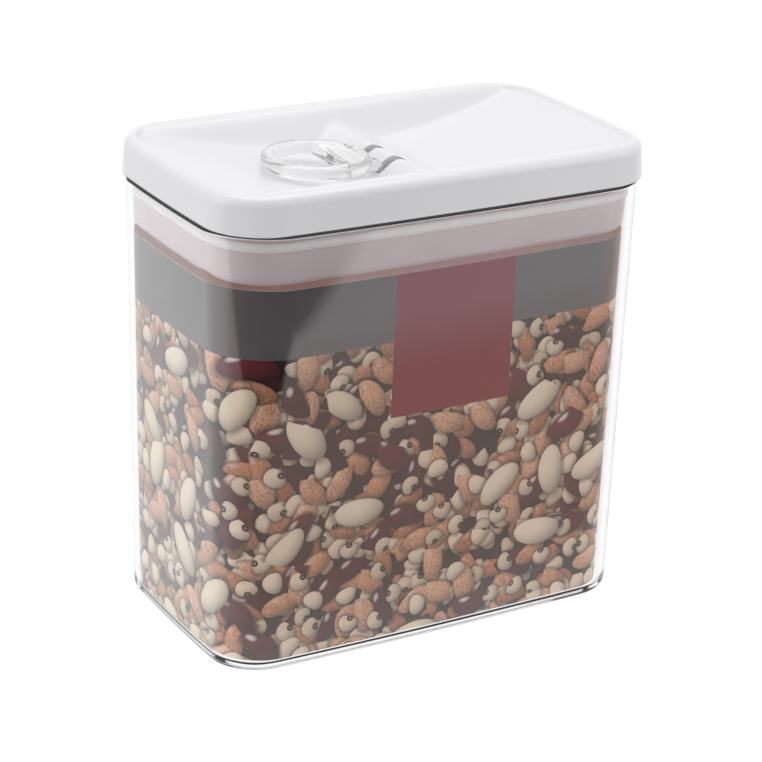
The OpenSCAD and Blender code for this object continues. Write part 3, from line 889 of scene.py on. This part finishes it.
def make_camera():
    """Camera from its direction, roll and distance, aimed past the origin"""
    flat = math.cos(CAMERA_ELEVATION)
    back = Vector((math.sin(CAMERA_AZIMUTH) * flat, -math.cos(CAMERA_AZIMUTH) * flat,
                   math.sin(CAMERA_ELEVATION)))
    level = Vector((0, 0, 1)).cross(back).normalized()
    upright = back.cross(level)
    right = level * math.cos(CAMERA_ROLL) + upright * math.sin(CAMERA_ROLL)
    up = upright * math.cos(CAMERA_ROLL) - level * math.sin(CAMERA_ROLL)
    data = bpy.data.cameras.new("camera")
    data.lens = CAMERA_LENS
    data.sensor_width = 36
    data.clip_end = 20
    camera = bpy.data.objects.new("camera", data)
    bpy.context.scene.collection.objects.link(camera)
    place = back * CAMERA_DISTANCE + right * CAMERA_RIGHT + up * CAMERA_UP
    turn = Matrix((right, up, back)).transposed().to_4x4()
    camera.matrix_world = Matrix.Translation(place) @ turn
    bpy.context.scene.camera = camera


def seen_plainly(tree):
    """Light path, and 1 for what the camera sees by itself or through something clear"""
    path = node(tree, "LightPath").outputs
    return path, maths(tree, "MAXIMUM", path["Is Camera Ray"], path["Is Transmission Ray"])


def mix_shaders(tree, factor, first, second):
    return node(tree, "MixShader", {0: factor, 1: first.outputs[0], 2: second.outputs[0]})


def table_paper():
    """White paper that shows as white, takes a soft shadow and has a set look in mirrors, with
    painted shade near the front wall
    """
    made, tree = material("white_paper_table")
    path, seen = seen_plainly(tree)
    place = node(tree, "TexCoord").outputs["Object"]
    past = []
    for out, far in TABLE_EDGES:
        ahead = vector(tree, "DOT_PRODUCT", place, out, out="Value")
        past.append(remap(tree, ahead, far - TABLE_EDGE_SOFT, far + TABLE_EDGE_SOFT))
    y = node(tree, "SeparateXYZ", {0: place}).outputs[1]
    # Mirrors see painted shade and painted warm colour on the table near the front wall
    mirrored = ramp(tree, remap(tree, y, *NEAR_TO_FAR), TABLE_NEAR_PAINTED_SHADE, TABLE_FAR)
    mirrored = ramp(tree, remap(tree, y, *FRONT_TO_SIDE), mirrored, TABLE_SIDE)
    mirrored = ramp(tree, maths(tree, "MULTIPLY", *past), mirrored, TABLE_PAST)
    paper = node(tree, "BsdfDiffuse", {"Color": colour("#F4F4F4")})
    white = node(tree, "Emission", {"Color": (1, 1, 1, 1), "Strength": TABLE_GLOW})
    reflected = node(tree, "Emission", {"Color": mirrored, "Strength": 1.0})
    shadowed = mix_shaders(tree, TABLE_GLOW_SHARE, paper, white)
    shown = mix_shaders(tree, seen, paper, shadowed)
    surface(tree, mix_shaders(tree, path["Is Glossy Ray"], shown, reflected))
    return made


def make_table():
    size = TABLE_SIZE
    corners = ((-size, -size), (size, -size), (size, size), (-size, size))
    points = [Vector((x, y, -TABLE_DROP)) for x, y in corners]
    floor = mesh_object("table_floor", points, [(0, 1, 2, 3)])
    floor.data.materials.append(table_paper())


def make_room():
    """White room; as mirrors see it, it falls off to grey in front of the object"""
    world = bpy.data.worlds.new("studio")
    bpy.context.scene.world = world
    world.use_nodes = True
    tree = world.node_tree
    tree.nodes.clear()
    path, seen = seen_plainly(tree)
    way = node(tree, "TexCoord").outputs["Generated"]
    ahead = vector(tree, "DOT_PRODUCT", way, ROOM_FRONT, out="Value")
    light = remap(tree, ahead, 0.1, 0.8, 1.0, ROOM_DARK, interpolation_type="SMOOTHSTEP")
    strength = node(tree, "Mix", {0: path["Is Glossy Ray"], 2: ROOM_LIGHT, 3: light}).outputs[0]
    room = node(tree, "Background", {"Color": (1, 1, 1, 1), "Strength": strength})
    white = node(tree, "Background", {"Color": (1, 1, 1, 1), "Strength": 1.0})
    node(tree, "OutputWorld", {"Surface": mix_shaders(tree, seen, room, white).outputs[0]})


def softbox(name, place, aim, width, height, watts):
    """Rectangular area light that faces a point"""
    data = bpy.data.lights.new(name, "AREA")
    data.shape = "RECTANGLE"
    data.size = width
    data.size_y = height
    data.energy = watts
    lamp = bpy.data.objects.new(name, data)
    bpy.context.scene.collection.objects.link(lamp)
    lamp.location = place
    lamp.rotation_euler = (Vector(aim) - Vector(place)).to_track_quat("-Z", "Y").to_euler()


def make_lights():
    """Three softboxes round the object; places and sizes in m, powers in W"""
    middle = (0, 0, 0.1)
    softbox("overhead_softbox", (0.0, 0.15, 1.3), middle, 1.3, 1.0, 7.5)
    softbox("left_softbox", (-1.25, 0.25, 0.55), middle, 0.8, 1.0, 3.2)
    softbox("right_softbox", (1.0, -0.7, 0.7), middle, 0.8, 0.8, 2.4)


white_abs = moulded_abs()
white_pp = moulded_pp()
steel = turned_steel()
make_container(clear_plastic("clear_styrene_moulded", 1.57, 1.0, 0.05))
make_card(printed_card(), bare_card())
make_cover(white_abs)
make_frame(white_pp)
make_seal(soft_elastomer())
make_plate(white_pp)
make_gasket(silicone())
make_ring(clear_plastic("clear_acrylic_moulded", 1.49, 0.8, 0.1))
finish_small_parts(steel, white_pp)
make_camera()
make_table()
make_room()
make_lights()
bpy.context.scene.view_settings.view_transform = "Standard"
